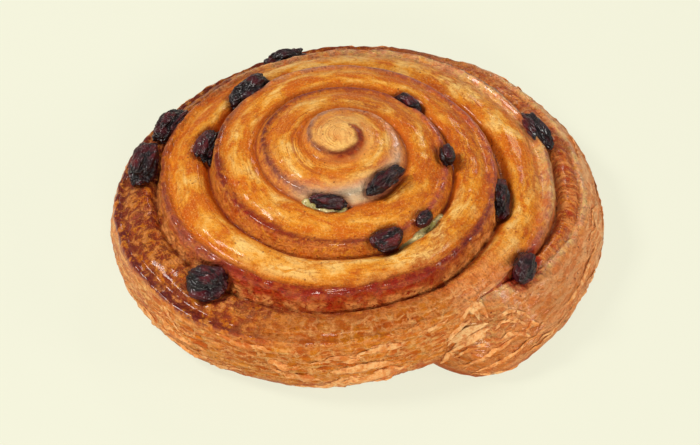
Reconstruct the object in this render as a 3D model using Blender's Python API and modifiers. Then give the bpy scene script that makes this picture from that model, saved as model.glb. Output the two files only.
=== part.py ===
"""A raisin danish: one strip of laminated dough rolled into a domed coil, with custard and raisins in its seam.

Metres, +Z up. The origin is on the base, under the middle of the danish's outline, and -Y is its front.
The strip starts at the coil's own middle and runs outwards clockwise, seen from above. A place along it is given
in turns, and every point is worked out from the coil's middle, where an empty holds all the pieces.
"""

import math

import bmesh
import bpy
from mathutils import Matrix, Vector, noise

MM = 0.001

# The coil, with one value for the start of each turn, from the middle outwards
COIL_CENTRE = Vector((-3.7 * MM, -2.75 * MM, 0))
START_ANGLE = math.radians(39.5)
CREST_RADIUS = [2.7 * MM, 11.6 * MM, 23.0 * MM, 33.7 * MM, 46.3 * MM, 54.0 * MM, 60.6 * MM]
CREST_HEIGHT = [34.6 * MM, 31.7 * MM, 27.4 * MM, 24.5 * MM, 18.6 * MM, 13.2 * MM, 9.5 * MM]
OVALNESS = [-0.02, -0.02, -0.02, -0.02, 0.04, 0.045, 0.045]
OVAL_AXIS = math.radians(27)
FLAT_SPOT_TURN = 4.71
FLAT_SPOT_REACH = 0.13
FLAT_SPOT_DEPTH = 1.8 * MM
STEPS_PER_TURN = 64

# The tail, where the strip ends against the turn inside it: its top narrows to nothing, its foot ends rounded
TAIL_START_TURN = 5.11
LAST_TURN = 5 + 16 / STEPS_PER_TURN
TAIL_END_TURNS = 0.047
TAIL_CREASE_SLANT = 0.035
TAIL_CREASE_REACH = 0.12

# The dough between two crests: (share of the width, share of the step down from the inner crest, rise)
SECTION = [
    (0.00, 1.00, 0.0 * MM),
    (0.05, 0.86, 0.0 * MM),
    (0.10, 0.48, -0.6 * MM),
    (0.16, 0.30, -1.4 * MM),
    (0.27, 0.26, 0.1 * MM),
    (0.45, 0.17, 1.1 * MM),
    (0.66, 0.06, 1.0 * MM),
    (0.86, 0.00, -0.2 * MM),
    (0.95, 0.00, 0.4 * MM),
    (1.00, 0.00, 0.0 * MM),
]
GROOVE_SHARE = 0.17
SEAM_OPENS_BY = 0.3
FULL_WIDTH = 7 * MM

# The outer wall: shares of its height, counted from the crest down
WALL_ROWS = [0.06, 0.18, 0.30, 0.42, 0.54, 0.66, 0.78, 0.90, 1.00]
WALL_BULGE = 1.2 * MM
BASE_TUCK = 2.4 * MM
FLARE = 4.8 * MM
FLARE_START_TURN = 4.58
FLARE_FULL_TURN = 5.08
LAYER_RELIEF = 0.35 * MM

# Unevenness of the baked dough
BLISTER_SIZE = 4.5 * MM
BLISTER_RELIEF = 0.35 * MM
SWAY_SIZE = 17 * MM
SWAY = 0.6 * MM

# Custard, a layer that runs between two turns and wells up in two openings: (turn, half length in turns)
CUSTARD_FROM_TURN = 1.14
CUSTARD_TO_TURN = 2.36
CUSTARD_STEPS = 64
CUSTARD_ROWS = 3
CUSTARD_THICKNESS = 3.2 * MM
CUSTARD_THIN_SHARE = 0.4
CUSTARD_BOTTOM = 5 * MM
CUSTARD_HIDDEN_DEPTH = 2.2 * MM
CUSTARD_WELL = 0.9 * MM
CUSTARD_OPENINGS = [(1.40, 0.06), (2.24, 0.05)]

FIT_GAP = 0.35 * MM

# Raisins: (turn, share of the width, length, width, height, heading from the strip, lift of the middle)
RAISINS = [
    (3.75, 0.24, 11.5, 8.0, 7.0, 0, 1.2),
    (3.65, 0.18, 10.5, 6.5, 6.0, 0, 0.9),
    (4.68, 0.36, 11.0, 6.0, 6.0, 0, 1.0),
    (4.63, 0.50, 12.0, 6.6, 6.2, 0, 1.2),
    (4.48, 0.37, 9.6, 9.0, 6.6, 20, 1.2),
    (4.81, 0.34, 10.0, 5.5, 5.5, 0, 1.0),
    (2.968, 0.13, 8.0, 4.8, 5.0, 0, 0.7),
    (3.11, 0.02, 6.0, 4.4, 4.6, 0, 0.5),
    (4.14, 0.12, 11.0, 5.0, 5.4, 8, 0.8),
    (5.045, 0.07, 12.0, 5.6, 5.6, 0, 0.7),
    (2.25, 0.03, 10.5, 4.2, 5.0, 0, 0.3),
    (2.39, 0.07, 8.5, 3.6, 4.6, 0, 0.2),
    (3.30, 0.07, 8.0, 5.6, 5.4, 10, 0.6),
    (3.24, 0.05, 4.6, 3.0, 3.6, 0, 0.0),
    (5.20, 0.42, 8.0, 5.4, 5.0, -35, 0.6),
]
RAISIN_RINGS = 7
RAISIN_SIDES = 10
WRINKLE_DEPTH = 0.16

DOUGH_COLOUR = (0.78, 0.42, 0.10, 1)
CUSTARD_COLOUR = (0.80, 0.66, 0.30, 1)
RAISIN_COLOUR = (0.035, 0.018, 0.022, 1)


def clear_scene():
    for obj in list(bpy.data.objects):
        bpy.data.objects.remove(obj)


def smooth_step(low, high, value):
    share = min(1.0, max(0.0, (value - low) / (high - low)))
    return share * share * (3 - 2 * share)


def mix(a, b, share):
    return a + (b - a) * share


def at_turn(values, turn):
    """A smooth value between the ones given for whole turns, by a Catmull-Rom curve."""
    last = len(values) - 1
    start = min(last - 1, max(0, math.floor(turn)))
    share = turn - start
    before = values[start - 1] if start > 0 else 2 * values[0] - values[1]
    after = values[start + 2] if start + 2 <= last else 2 * values[last] - values[last - 1]
    a, b = values[start], values[start + 1]
    bend = (2 * a - 2 * b + (b - before) / 2 + (after - a) / 2) * share**3
    bend += (-3 * a + 3 * b - (b - before) - (after - a) / 2) * share**2
    return bend + (b - before) / 2 * share + a


def free_crest(turn):
    """The top edge of the strip's outer side, without the tail's taper."""
    angle = START_ANGLE - 2 * math.pi * turn
    if turn < 0:
        radius = CREST_RADIUS[0] * (1 + turn * 0.55)
        height = CREST_HEIGHT[0]
    else:
        radius = at_turn(CREST_RADIUS, turn)
        radius -= FLAT_SPOT_DEPTH * (1 - smooth_step(0, FLAT_SPOT_REACH, abs(turn - FLAT_SPOT_TURN)))
        height = at_turn(CREST_HEIGHT, turn)
    oval = at_turn(OVALNESS, max(0, turn)) * math.cos(2 * (angle - OVAL_AXIS))
    out = Vector((math.cos(angle), math.sin(angle), 0))
    point = out * radius * (1 + oval)
    sway = SWAY * smooth_step(0.5, 2, turn)
    point += out * sway * noise.noise(point / SWAY_SIZE)
    point.z = height + sway * noise.noise(point / SWAY_SIZE + Vector((7, 3, 5)))
    return point


def tail_taper(turn):
    """How far the crest is drawn in: from none to all the way to the crest of the turn inside."""
    return max(0, (turn - TAIL_START_TURN) / (LAST_TURN - TAIL_START_TURN)) ** 1.4


def crest(turn):
    """The crest, drawn in at the tail."""
    point = free_crest(turn)
    if turn > TAIL_START_TURN:
        point = point.lerp(free_crest(turn - 1), tail_taper(turn))
    return point


def band_point(turn, share, drop, rise):
    """A point on top of the strip, between the crest inside it and its own."""
    inner, outer = crest(turn - 1), crest(turn)
    opened = smooth_step(0, SEAM_OPENS_BY, turn - 1)
    full = min(1.0, (outer - inner).length / FULL_WIDTH)
    step = inner.z - outer.z
    closed_top = outer.z + step * (1 - share)
    open_top = outer.z + step * drop + rise * full
    point = inner.lerp(outer, share)
    point.z = mix(closed_top, open_top, opened)
    edge = min(share, 1 - share) * 4
    blister = noise.noise(Vector((point.x, point.y, 0)) / BLISTER_SIZE)
    point.z += BLISTER_RELIEF * blister * min(1.0, edge) * full
    return point


def section_at(share):
    """The section's step and rise at any share of the width."""
    for low, high in zip(SECTION, SECTION[1:]):
        if share <= high[0]:
            part = (share - low[0]) / (high[0] - low[0])
            return mix(low[1], high[1], part), mix(low[2], high[2], part)
    return SECTION[-1][1], SECTION[-1][2]


def tail_end(turn):
    """The rounding of the tail's foot: 1 along the strip, and 0 at its very end."""
    past = (turn - (LAST_TURN - TAIL_END_TURNS)) / TAIL_END_TURNS
    return 1 - max(0, past) ** 2.5


def wall_point(turn, down, row):
    """A point on the outer wall, a share of the way down it. Near the tail's end the wall leans along the crease."""
    from_end = min(abs(turn - LAST_TURN), abs(turn + 1 - LAST_TURN))
    lean = TAIL_CREASE_SLANT * down * (1 - smooth_step(0, TAIL_CREASE_REACH, from_end))
    spread = math.sin(down * math.pi / 2)
    point = free_crest(turn + lean)
    flare = FLARE * smooth_step(FLARE_START_TURN, FLARE_FULL_TURN, turn) * spread
    if turn > TAIL_START_TURN:
        drawn = mix(tail_taper(turn), 1 - tail_end(turn), spread)
        point = point.lerp(free_crest(turn + lean - 1), drawn)
        flare *= tail_end(turn)
    out = Vector((point.x, point.y, 0)).normalized()
    point.z = crest(turn).z * (1 - down)
    offset = flare + WALL_BULGE * math.sin(down * math.pi) ** 0.7 - BASE_TUCK * down**4
    if down < 1:
        wave = noise.noise(Vector((point.x, point.y, point.z * 2)) / SWAY_SIZE + Vector((1, 9, 4)))
        offset += LAYER_RELIEF * (1 if row % 2 else -1) * (1 + wave)
        point.z += LAYER_RELIEF * wave * 2
    return point + out * offset


def open_loops(bm):
    """The open edges of the mesh, as the loop round the middle and the outer loop."""
    loose = [edge for edge in bm.edges if edge.is_boundary]
    split = CREST_RADIUS[1]
    inner = [edge for edge in loose if edge.verts[0].co.xy.length < split]
    outer = [edge for edge in loose if edge.verts[0].co.xy.length >= split]
    return inner, outer


def coil_top(bm):
    """The strip's whole top as one grid, welded to itself along the crests. Each point keeps its own turn."""
    steps = round(LAST_TURN * STEPS_PER_TURN)
    rows = len(SECTION) - 1
    bmesh.ops.create_grid(bm, x_segments=steps, y_segments=rows, size=0.5)
    turns = bm.verts.layers.float.new("turn")
    for vert in bm.verts:
        turn = round((vert.co.x + 0.5) * steps) / STEPS_PER_TURN
        share, drop, rise = SECTION[round((vert.co.y + 0.5) * rows)]
        vert.co = band_point(turn, share, drop, rise)
        vert[turns] = turn
    bmesh.ops.remove_doubles(bm, verts=bm.verts, dist=0.01 * MM)


def close_middle(bm):
    inner, _ = open_loops(bm)
    bmesh.ops.contextual_create(bm, geom=inner)


def add_wall_and_base(bm):
    _, ring = open_loops(bm)
    turns = bm.verts.layers.float["turn"]
    for row, down in enumerate(WALL_ROWS):
        made = bmesh.ops.extrude_edge_only(bm, edges=ring)["geom"]
        ring = [item for item in made if isinstance(item, bmesh.types.BMEdge)]
        for vert in [item for item in made if isinstance(item, bmesh.types.BMVert)]:
            vert.co = wall_point(vert[turns], down, row)
    bmesh.ops.contextual_create(bm, geom=ring)


def simple_material(name, colour, roughness, coat=0.0):
    material = bpy.data.materials.new(name)
    material.use_nodes = True
    shader = material.node_tree.nodes["Principled BSDF"]
    shader.inputs["Base Color"].default_value = colour
    shader.inputs["Roughness"].default_value = roughness
    shader.inputs["Metallic"].default_value = 0.0
    shader.inputs["Coat Weight"].default_value = coat
    return material


def object_from(bm, name, collection, material=None):
    mesh = bpy.data.meshes.new(name)
    bmesh.ops.recalc_face_normals(bm, faces=bm.faces)
    bm.to_mesh(mesh)
    bm.free()
    mesh.shade_smooth()
    if material:
        mesh.materials.append(material)
    obj = bpy.data.objects.new(name, mesh)
    collection.objects.link(obj)
    return obj


def make_cutter(obj):
    obj.hide_render = True
    obj.display_type = "WIRE"
    return obj


def build_dough(collection, material):
    bm = bmesh.new()
    coil_top(bm)
    close_middle(bm)
    add_wall_and_base(bm)
    return object_from(bm, "dough", collection, material)


def custard_top(turn):
    """The height of the custard's top edge, and its share of the full thickness."""
    drop, rise = section_at(GROOVE_SHARE)
    groove = band_point(turn + 1, GROOVE_SHARE, drop, rise)
    well = 0
    for middle, half in CUSTARD_OPENINGS:
        well = max(well, 1 - smooth_step(half * 0.6, half * 1.3, abs(turn - middle)))
    groove.z += mix(-CUSTARD_HIDDEN_DEPTH, CUSTARD_WELL, well)
    return groove, mix(CUSTARD_THIN_SHARE, 1, well)


def custard_ribbon(name, collection, grow, material=None):
    """The custard as a thin standing ribbon in the seam. A grown one cuts the room for it."""
    bm = bmesh.new()
    bmesh.ops.create_grid(bm, x_segments=CUSTARD_STEPS, y_segments=CUSTARD_ROWS, size=0.5)
    thickness = {}
    stretch = grow / at_turn(CREST_RADIUS, CUSTARD_FROM_TURN) / (2 * math.pi)
    for vert in bm.verts:
        turn = mix(CUSTARD_FROM_TURN - stretch, CUSTARD_TO_TURN + stretch, vert.co.x + 0.5)
        top, share = custard_top(turn)
        up = vert.co.y + 0.5
        vert.co = Vector((top.x, top.y, mix(CUSTARD_BOTTOM - grow, top.z + grow, up)))
        thickness[vert.index] = share
    obj = object_from(bm, name, collection, material)
    full = CUSTARD_THICKNESS + 2 * grow
    group = obj.vertex_groups.new(name="thickness")
    for index, share in thickness.items():
        group.add([index], (CUSTARD_THICKNESS * share + 2 * grow) / full, "REPLACE")
    solidify = obj.modifiers.new("Thickness", "SOLIDIFY")
    solidify.thickness = full
    solidify.offset = 0
    solidify.vertex_group = group.name
    return obj


def raisin_mesh(seed, size, grow):
    """A wrinkled raisin with its middle at zero, grown outwards by a gap when it is a cutter."""
    bm = bmesh.new()
    bmesh.ops.create_uvsphere(bm, u_segments=RAISIN_SIDES, v_segments=RAISIN_RINGS, radius=0.5)
    for vert in bm.verts:
        way = vert.co.normalized()
        folds = abs(noise.noise(way * 1.6 + Vector((seed * 3.1, 0, 0))))
        lump = noise.noise(way * 0.9 + Vector((0, seed * 1.7, 0)))
        radius = 0.5 * (1 + 0.25 * lump - WRINKLE_DEPTH * 2 * folds)
        vert.co = Vector(part * side for part, side in zip(way * radius, size))
    if grow:
        bm.normal_update()
        moves = [(vert, vert.normal * grow) for vert in bm.verts]
        for vert, move in moves:
            vert.co += move
    return bm


def raisin_place(turn, share, lift, heading):
    """Where a raisin lies: its middle on the dough's top, its length along the strip."""
    drop, rise = section_at(share)
    point = band_point(turn, share, drop, rise)
    ahead = band_point(turn + 0.01, share, drop, rise) - point
    yaw = math.atan2(ahead.y, ahead.x) + math.radians(heading)
    point.z += lift * MM
    return Matrix.Translation(point) @ Matrix.Rotation(yaw, 4, "Z")


def build_raisins(collection, cutters, material):
    for number, (turn, share, length, width, height, heading, lift) in enumerate(RAISINS, 1):
        size = Vector((length, width, height)) * MM
        place = raisin_place(turn, share, lift, heading)
        name = f"raisin_{number:02d}"
        raisin = object_from(raisin_mesh(number, size, 0), name, collection, material)
        raisin.matrix_basis = place
        cutter = object_from(raisin_mesh(number, size, FIT_GAP), name + "_pocket", cutters)
        make_cutter(cutter).matrix_basis = place


def cut_by(obj, operand):
    """Cuts the object by another one, or by every object of a collection."""
    cut = obj.modifiers.new("Room for " + operand.name, "BOOLEAN")
    cut.operation = "DIFFERENCE"
    cut.solver = "EXACT"
    if isinstance(operand, bpy.types.Collection):
        cut.operand_type = "COLLECTION"
        cut.collection = operand
    else:
        cut.object = operand


def new_collection(name):
    collection = bpy.data.collections.new(name)
    bpy.context.scene.collection.children.link(collection)
    return collection


def hold_by_middle(collections):
    """Parents every piece and cutter to an empty at the coil's middle."""
    middle = bpy.data.objects.new("coil_middle", None)
    middle.location = COIL_CENTRE
    collections[0].objects.link(middle)
    for collection in collections:
        for obj in collection.objects:
            if obj is not middle:
                obj.parent = middle


def main():
    clear_scene()
    danish = new_collection("raisin_danish")
    cutters = new_collection("cutters")
    pockets = new_collection("pockets")
    crust = simple_material("baked_dough", DOUGH_COLOUR, 0.35, 0.3)
    cream = simple_material("custard", CUSTARD_COLOUR, 0.3)
    fruit = simple_material("raisin", RAISIN_COLOUR, 0.35)
    dough = build_dough(danish, crust)
    custard = custard_ribbon("custard", danish, 0, cream)
    seam = make_cutter(custard_ribbon("custard_seam", cutters, FIT_GAP))
    build_raisins(danish, pockets, fruit)
    hold_by_middle([danish, cutters, pockets])
    cut_by(dough, seam)
    cut_by(dough, pockets)
    cut_by(custard, pockets)


main()
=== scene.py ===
import math
import random
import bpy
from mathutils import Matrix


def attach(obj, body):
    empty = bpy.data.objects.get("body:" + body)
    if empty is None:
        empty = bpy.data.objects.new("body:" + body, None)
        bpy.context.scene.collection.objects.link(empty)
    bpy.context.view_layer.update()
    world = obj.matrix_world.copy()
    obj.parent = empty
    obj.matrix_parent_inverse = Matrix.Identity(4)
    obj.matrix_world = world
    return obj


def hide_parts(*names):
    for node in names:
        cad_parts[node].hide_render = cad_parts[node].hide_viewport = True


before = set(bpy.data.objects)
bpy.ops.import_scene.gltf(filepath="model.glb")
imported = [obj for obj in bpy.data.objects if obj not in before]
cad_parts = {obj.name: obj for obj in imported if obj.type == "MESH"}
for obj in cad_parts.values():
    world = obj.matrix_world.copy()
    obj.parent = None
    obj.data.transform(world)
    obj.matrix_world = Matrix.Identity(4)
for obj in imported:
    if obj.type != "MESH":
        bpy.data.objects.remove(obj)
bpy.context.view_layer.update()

from types import SimpleNamespace

import bmesh
import bpy
import numpy as np
from mathutils import Matrix, Vector, noise

mm = 0.001
scene = bpy.context.scene


class Wire:  # one socket of a node tree, usable in sums
    def __init__(self, graph, socket):
        self.graph = graph
        self.socket = socket

    def __getitem__(self, name):  # another output of the same node
        return Wire(self.graph, self.socket.node.outputs[name])

    def calc(self, kind, *others):
        return self.graph.math(kind, self, *others)

    def __add__(self, other):
        return self.calc("ADD", other)

    def __sub__(self, other):
        return self.calc("SUBTRACT", other)

    def __mul__(self, other):
        return self.calc("MULTIPLY", other)

    def __truediv__(self, other):
        return self.calc("DIVIDE", other)

    def __pow__(self, other):
        return self.calc("POWER", other)

    def __neg__(self):
        return self.calc("MULTIPLY", -1.0)

    def __rsub__(self, other):
        return self.graph.math("SUBTRACT", other, self)

    __radd__ = __add__
    __rmul__ = __mul__

    def least(self, other):
        return self.calc("MINIMUM", other)

    def most(self, other):
        return self.calc("MAXIMUM", other)

    def clamped(self):
        return self.most(0.0).least(1.0)

    def eased(self, low, high):  # 0 below low, 1 above high, smooth between
        settings = {"interpolation_type": "SMOOTHSTEP"}
        return self.graph.add("ShaderNodeMapRange", settings, {0: self, 1: low, 2: high, 3: 0.0, 4: 1.0})

    def faded(self, low, high):  # 1 below low, 0 above high, smooth between
        return 1 - self.eased(low, high)

    def within(self, low, full, ebb, high):  # 1 from full to ebb, 0 outside low and high
        return self.eased(low, full) * self.faded(ebb, high)

    def bell(self):  # 1 at 0, falling away on both sides
        return (-(self**2.0)).calc("EXPONENT")

    def coated(self, share, colour):  # this colour with a share of another over it
        return self.graph.blend(share, self, colour)


class Graph:  # a node tree, with one method that makes every node and short names for the usual ones
    def __init__(self, tree, tones=None):
        self.tree = tree
        self.tones = tones
        tree.nodes.clear()

    def add(self, kind, settings=None, sockets=None, out=0):
        node = self.tree.nodes.new(kind)
        for name, value in (settings or {}).items():
            if name == "stops":
                self.setStops(node.color_ramp, value)
            elif name == "curve":
                self.setCurve(node.mapping, value)
            else:
                setattr(node, name, value)
        for name, value in (sockets or {}).items():
            if isinstance(value, Wire):
                self.tree.links.new(value.socket, node.inputs[name])
            elif isinstance(value, list):
                for wire in value:
                    self.tree.links.new(wire.socket, node.inputs[name])
            else:
                node.inputs[name].default_value = value
        return Wire(self, node.outputs[out]) if len(node.outputs) else None

    def setStops(self, ramp, stops):
        while len(ramp.elements) < len(stops):
            ramp.elements.new(0.5)
        for element, (place, colour) in zip(ramp.elements, stops):
            element.position = place
            element.color = colour

    def setCurve(self, mapping, points):
        line = mapping.curves[0].points
        while len(line) < len(points):
            line.new(0.5, 0.5)
        for point, place in zip(line, points):
            point.location = place
        mapping.update()

    def math(self, kind, *values):
        return self.add("ShaderNodeMath", {"operation": kind}, dict(enumerate(values)))

    def vector(self, kind, *values, out=0):
        return self.add("ShaderNodeVectorMath", {"operation": kind}, dict(enumerate(values)), out)

    def scaled(self, vector, factor):
        return self.add("ShaderNodeVectorMath", {"operation": "SCALE"}, {0: vector, "Scale": factor})

    def joined(self, x, y, z):
        return self.add("ShaderNodeCombineXYZ", None, {0: x, 1: y, 2: z})

    def split(self, vector):
        part = self.add("ShaderNodeSeparateXYZ", None, {0: vector})
        return part, part["Y"], part["Z"]

    def around(self, x, y):  # the way out from the coil's middle, and how far out
        radius = self.vector("LENGTH", self.joined(x, y, 0.0), out="Value").most(1 * mm)
        return x / radius, y / radius, radius

    def noise(self, vector, scale, detail=2.0, rough=0.5, warp=0.0):
        sockets = {"Vector": vector, "Scale": scale, "Detail": detail, "Roughness": rough, "Distortion": warp}
        return self.add("ShaderNodeTexNoise", None, sockets)

    def streaks(self, x, y, size, third, *noiseSizes):  # noise read at x and y times size, and a third value
        return self.noise(self.joined(x * size, y * size, third), 1.0, *noiseSizes)

    def cells(self, vector, scale, feature="F1"):
        return self.add("ShaderNodeTexVoronoi", {"feature": feature}, {"Vector": vector, "Scale": scale})

    def curve(self, points, value):
        return self.add("ShaderNodeFloatCurve", {"curve": points}, {"Value": value})

    # for materials
    def spot(self):
        return self.add("ShaderNodeTexCoord", out="Object")

    def attribute(self, name):
        return self.add("ShaderNodeAttribute", {"attribute_name": name}, out="Fac")

    def blend(self, share, *colours):  # two colours, each a wire or the name of a tone
        under, over = [self.tones[c] if isinstance(c, str) else c for c in colours]
        settings = {"data_type": "RGBA", "clamp_factor": True}
        return self.add("ShaderNodeMix", settings, {0: share, 6: under, 7: over}, 2)

    def surface(self, sockets, height=None, reach=0.0005, strength=0.9):  # what each material ends in
        if height:
            bump = self.add("ShaderNodeBump", None, {"Strength": strength, "Distance": reach, "Height": height})
            sockets = {**sockets, "Normal": bump}
        shader = self.add("ShaderNodeBsdfPrincipled", None, sockets)
        self.add("ShaderNodeOutputMaterial", None, {"Surface": shader})

    # for geometry
    def place(self):
        return self.add("GeometryNodeInputPosition")

    def named(self, name):
        return self.add("GeometryNodeInputNamedAttribute", {"data_type": "FLOAT"}, {"Name": name})

    def stored(self, geometry, values, domain="POINT"):
        for name, value in values.items():
            geometry = self.add("GeometryNodeStoreNamedAttribute", {"data_type": "FLOAT", "domain": domain},
                                {"Geometry": geometry, "Name": name, "Value": value})
        return geometry

    def moved(self, geometry, **sockets):
        return self.add("GeometryNodeSetPosition", None, {"Geometry": geometry, **sockets})

    def shapeOf(self, obj):
        return self.add("GeometryNodeObjectInfo", None, {"Object": obj}, "Geometry")

    def sampled(self, line, index):
        return self.add("GeometryNodeSampleIndex", {"data_type": "FLOAT_VECTOR", "domain": "POINT"},
                        {"Geometry": line, "Value": self.place(), "Index": index})

    def nearest(self, geometry, out):
        return self.add("GeometryNodeProximity", {"target_element": "FACES"}, {0: geometry}, out)

    def grid(self, columns, rows):
        sizes = {"Size X": 1.0, "Size Y": 1.0, "Vertices X": columns + 1, "Vertices Y": rows + 1}
        return self.add("GeometryNodeMeshGrid", None, sizes)

    def between(self, a, b, share):
        return self.add("ShaderNodeMix", {"data_type": "VECTOR"}, {0: share, 4: a, 5: b}, 1)

    def finish(self, geometry, material):  # what each geometry tree ends in
        plain = self.add("GeometryNodeRealizeInstances", None, {0: geometry})
        done = self.add("GeometryNodeSetMaterial", None, {"Geometry": plain, "Material": material})
        self.add("NodeGroupOutput", None, {0: done})


def tidyStep(low, high, value):
    share = np.clip((value - low) / (high - low), 0, 1)
    return share * share * (3 - 2 * share)


def blendOf(a, b, share):
    return a + (b - a) * share


def rgb(red, green, blue):  # colour as seen on a screen, 0 to 255
    linear = [((c / 255 + 0.055) / 1.055) ** 2.4 if c > 10 else c / 255 / 12.92 for c in (red, green, blue)]
    return (*linear, 1.0)


def dropObject(obj):
    mesh = obj.data
    bpy.data.objects.remove(obj)
    if mesh and mesh.users == 0 and isinstance(mesh, bpy.types.Mesh):
        bpy.data.meshes.remove(mesh)


def plainObject(name, mesh):
    obj = bpy.data.objects.new(name, mesh)
    scene.collection.objects.link(obj)
    return obj


def newMaterial(name, tones=None):
    material = bpy.data.materials.new(name)
    material.use_nodes = True
    return material, Graph(material.node_tree, tones)


def newTree(name, inputs):  # a geometry tree, its graph and its inputs, each with a name and a kind
    tree = bpy.data.node_groups.new(name, "GeometryNodeTree")
    for label, kind in inputs.items():
        tree.interface.new_socket(label, in_out="INPUT", socket_type="NodeSocket" + kind)
    tree.interface.new_socket("Geometry", in_out="OUTPUT", socket_type="NodeSocketGeometry")
    g = Graph(tree)
    return tree, g, g.add("NodeGroupInput")


def meshFromTree(name, tree, values):  # runs the tree and keeps its result as a plain mesh
    holder = plainObject("holder", bpy.data.meshes.new("holder"))
    modifier = holder.modifiers.new("shape", "NODES")
    modifier.node_group = tree
    for item in tree.interface.items_tree:
        if item.in_out == "INPUT" and item.name in values:
            modifier[item.identifier] = values[item.name]
    graph = bpy.context.evaluated_depsgraph_get()
    mesh = bpy.data.meshes.new_from_object(holder.evaluated_get(graph), depsgraph=graph)
    mesh.name = name
    holder.modifiers.remove(modifier)
    dropObject(holder)
    return mesh


# The coil: crest lines of one strip of dough, from the middle outwards.
coil = {
    "centre": (-3.7, -2.75),        # mm, under the coil's own middle
    "startAngle": 39.5,             # degrees
    "radius": [2.7, 11.6, 23.0, 33.7, 46.3, 54.0, 60.6],
    "height": [34.6, 31.7, 27.4, 24.5, 18.6, 13.2, 9.5],
    "oval": [-0.02, -0.02, -0.02, -0.02, 0.04, 0.045, 0.045],
    "ovalAxis": 27,
    "flatSpot": (4.71, 0.13, 1.8),  # turn, reach, depth
    "sway": 0.6,
    "swaySize": 17,
    "steps": 336,                   # columns in a turn
    "turns": 5.25,
    "tailStart": 5.11,
    "tailEnd": 0.047,
    "creaseSlant": 0.035,
    "creaseReach": 0.12,
    "flare": 4.8,
    "flareFrom": 4.58,
    "flareTo": 5.08,
    "hub": 8,                       # mm, the first hole is within it and the base outside it
}


def atTurn(values, turn):
    last = len(values) - 1
    start = min(last - 1, max(0, math.floor(turn)))
    share = turn - start
    before = values[start - 1] if start > 0 else 2 * values[0] - values[1]
    after = values[start + 2] if start + 2 <= last else 2 * values[last] - values[last - 1]
    a, b = values[start], values[start + 1]
    bend = (2 * a - 2 * b + (b - before) / 2 + (after - a) / 2) * share**3
    bend += (-3 * a + 3 * b - (b - before) - (after - a) / 2) * share**2
    return bend + (b - before) / 2 * share + a


def freeCrest(turn):
    angle = math.radians(coil["startAngle"]) - 2 * math.pi * turn
    if turn < 0:
        radius, height = coil["radius"][0] * (1 + turn * 0.55), coil["height"][0]
    else:
        radius, height = atTurn(coil["radius"], turn), atTurn(coil["height"], turn)
        place, reach, depth = coil["flatSpot"]
        radius -= depth * (1 - tidyStep(0, reach, abs(turn - place)))
    oval = atTurn(coil["oval"], max(0, turn)) * math.cos(2 * (angle - math.radians(coil["ovalAxis"])))
    out = Vector((math.cos(angle), math.sin(angle), 0)) * mm
    point = out * radius * (1 + oval)
    sway = coil["sway"] * float(tidyStep(0.5, 2, turn))
    size = coil["swaySize"] * mm
    point += out * sway * noise.noise(point / size)
    point.z = (height + sway * noise.noise(point / size + Vector((7, 3, 5)))) * mm
    return point


def tailTaper(turn):
    return max(0, (turn - coil["tailStart"]) / (coil["turns"] - coil["tailStart"])) ** 1.4


def tailEnd(turn):
    past = (turn - (coil["turns"] - coil["tailEnd"])) / coil["tailEnd"]
    return 1 - max(0, past) ** 2.5


def crest(turn):
    point = freeCrest(turn)
    if turn > coil["tailStart"]:
        point = point.lerp(freeCrest(turn - 1), tailTaper(turn))
    return point


def footPoint(turn):  # where the outer wall would stand, before its bulge and tuck
    fromEnd = min(abs(turn - coil["turns"]), abs(turn + 1 - coil["turns"]))
    lean = coil["creaseSlant"] * (1 - float(tidyStep(0, coil["creaseReach"], fromEnd)))
    point = freeCrest(turn + lean)
    flare = coil["flare"] * float(tidyStep(coil["flareFrom"], coil["flareTo"], turn))
    if turn > coil["tailStart"]:
        point = point.lerp(freeCrest(turn + lean - 1), 1 - tailEnd(turn))
        flare *= tailEnd(turn)
    out = Vector((point.x, point.y, 0)).normalized()
    return point + out * flare * mm


coilMiddle = Vector((coil["centre"][0] * mm, coil["centre"][1] * mm, 0))


def guideLine(name, points):
    mesh = bpy.data.meshes.new(name)
    mesh.from_pydata([tuple(p + coilMiddle) for p in points], [(i, i + 1) for i in range(len(points) - 1)], [])
    return plainObject(name, mesh)


steps = coil["steps"]
columns = round(coil["turns"] * steps)
crestLine = guideLine("crestLine", [crest(-1 + i / steps) for i in range(columns + steps + 1)])
footLine = guideLine("footLine", [footPoint(coil["turns"] - 1 + i / steps) for i in range(steps + 1)])
print("coil lines ready", len(crestLine.data.vertices))


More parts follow.
